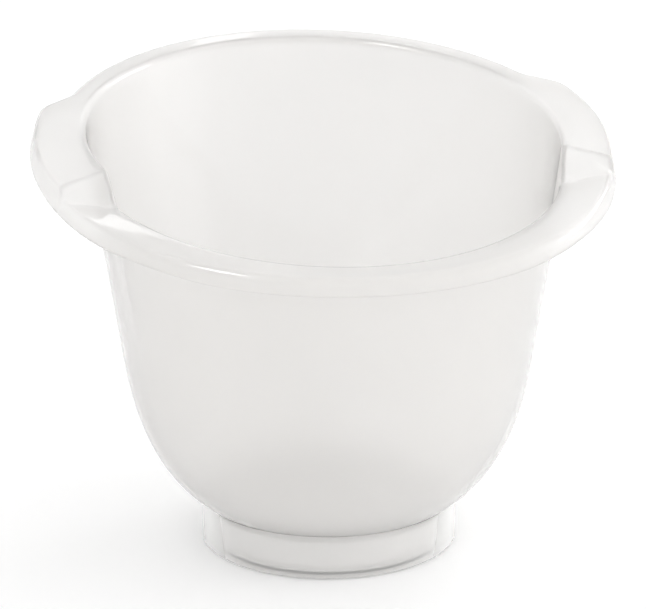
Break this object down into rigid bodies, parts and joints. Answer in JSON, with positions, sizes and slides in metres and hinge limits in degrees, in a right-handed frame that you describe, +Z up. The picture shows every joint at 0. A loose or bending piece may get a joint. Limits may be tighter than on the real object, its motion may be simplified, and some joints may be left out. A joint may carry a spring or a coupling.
{
  "type": "baby bathtub",
  "caption": "Deep bucket-style baby bathtub of frosted plastic, with a slanted brim, ear handles, a round foot and a soft non-slip ring.",
  "frame": {"origin": "centre of the overall box, on the floor", "axes": "+X along the two ear handles, -Y towards the low front of the brim, +Y towards the high back, +Z up"},
  "size_m": [0.4476, 0.4432, 0.36],
  "materials": {
    "tub_plastic": "frosted translucent polypropylene, satin gloss",
    "foot_plastic": "frosted translucent polypropylene, satin gloss",
    "soft_grip": "matte milky thermoplastic rubber"
  },
  "bodies": {
    "root": {"tub_shell": "tub_plastic", "foot_ring": "foot_plastic", "anti_slip_ring": "soft_grip"}
  },
  "joints": []
}
